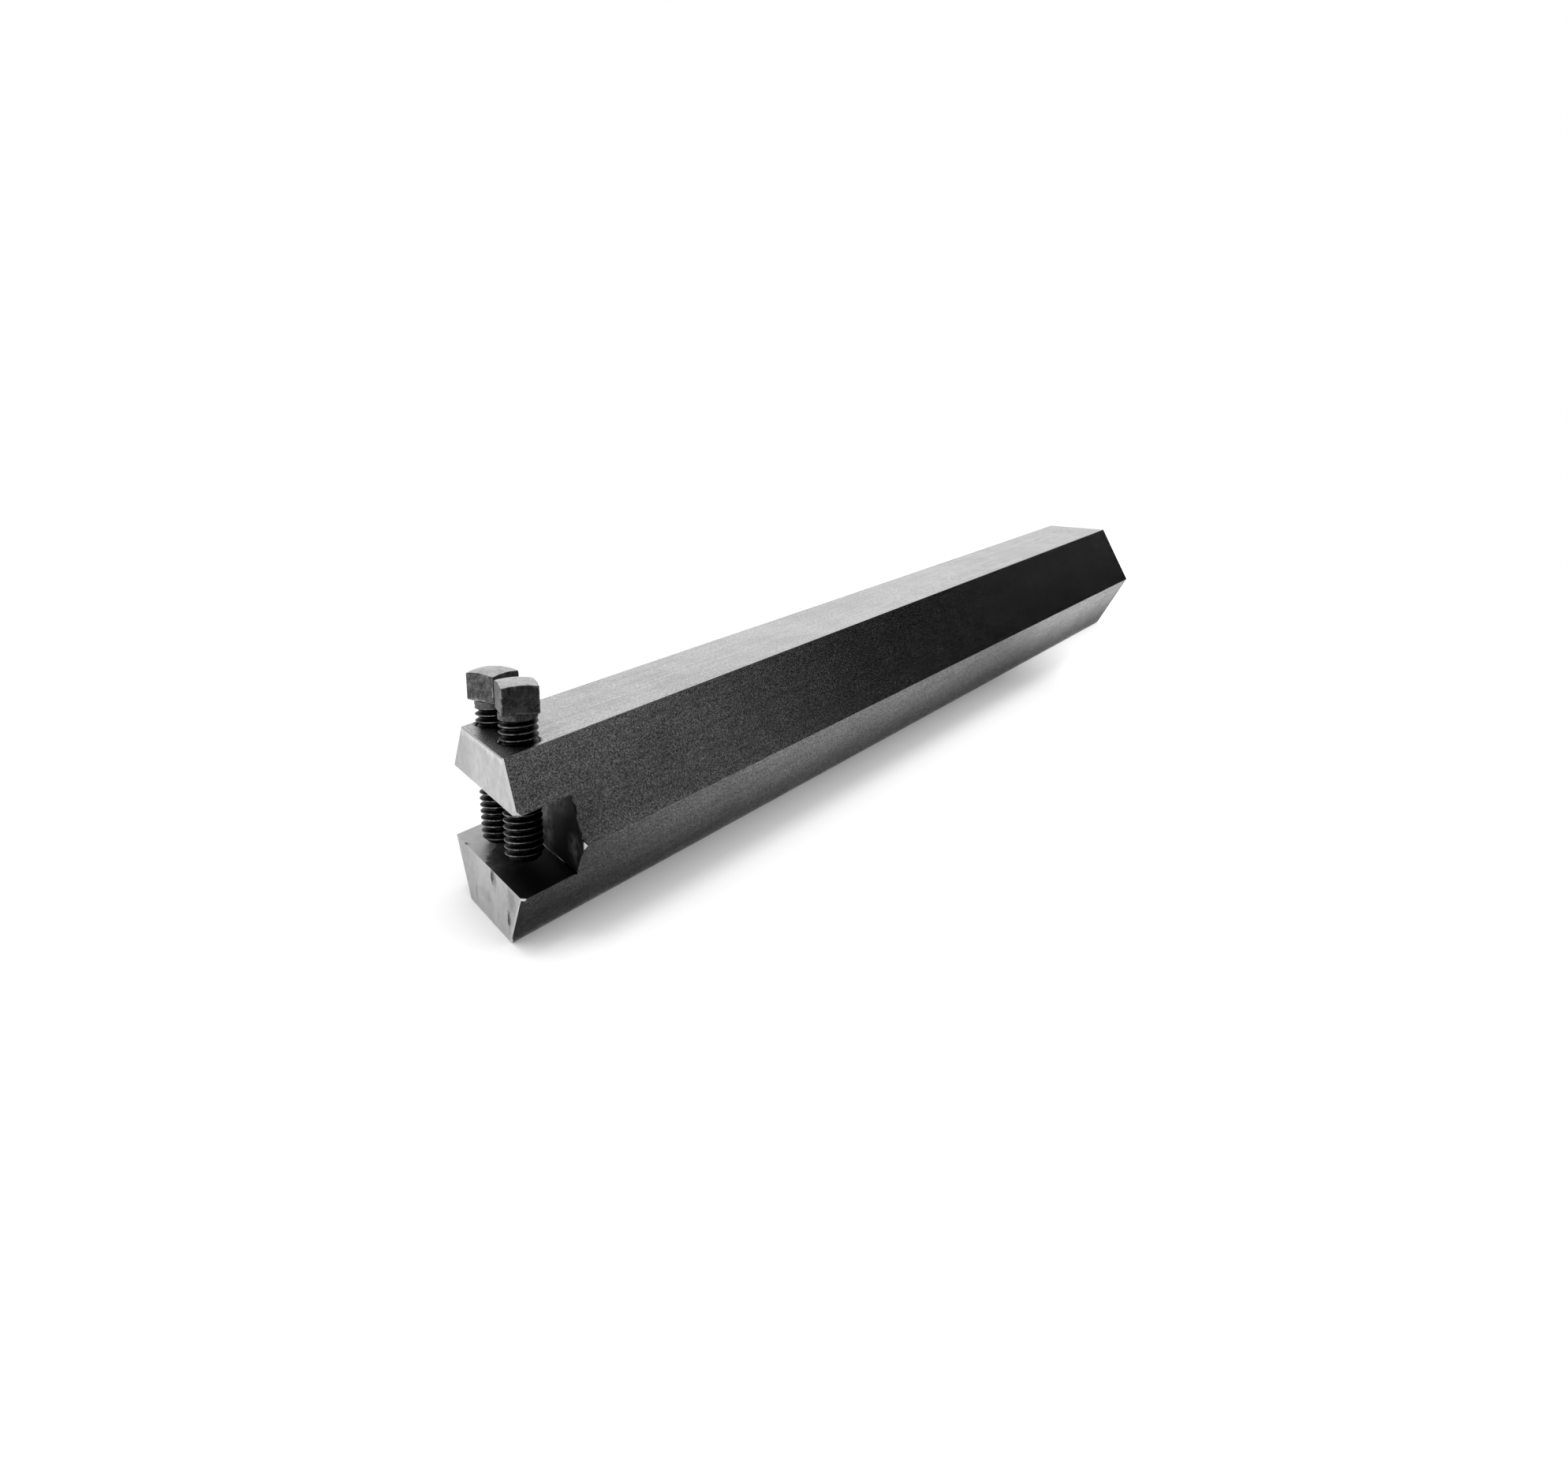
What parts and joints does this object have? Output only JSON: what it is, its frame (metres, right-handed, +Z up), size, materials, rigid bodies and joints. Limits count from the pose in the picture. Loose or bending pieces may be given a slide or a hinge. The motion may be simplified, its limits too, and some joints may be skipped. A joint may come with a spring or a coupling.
{
  "type": "turning tool holder",
  "caption": "Hexagonal steel bar with a skewed, slotted end that holds a square tool bit under square-head clamp screws.",
  "frame": {"origin": "under the middle of the bar, on its bottom flat", "axes": "+X from the slotted tool end to the shank end, +Z up through the clamp screws"},
  "size_m": [0.3654, 0.044, 0.0505],
  "materials": {
    "bar_steel": "fine-grained dark steel with ground end faces",
    "screw_steel": "black oxide, worn bright on the heads"
  },
  "bodies": {
    "holder": {"holder_bar": "bar_steel"},
    "front_screw": {"front_clamp_screw": "screw_steel"},
    "rear_screw": {"rear_clamp_screw": "screw_steel"}
  },
  "joints": [
    {"name": "front_screw_travel", "type": "slide", "parent": "holder", "child": "front_screw", "axis": [0, 0, 1], "range_m": [-0.0013, 0.0147]},
    {"name": "rear_screw_travel", "type": "slide", "parent": "holder", "child": "rear_screw", "axis": [0, 0, 1], "range_m": [-0.00045, 0.0155]}
  ]
}
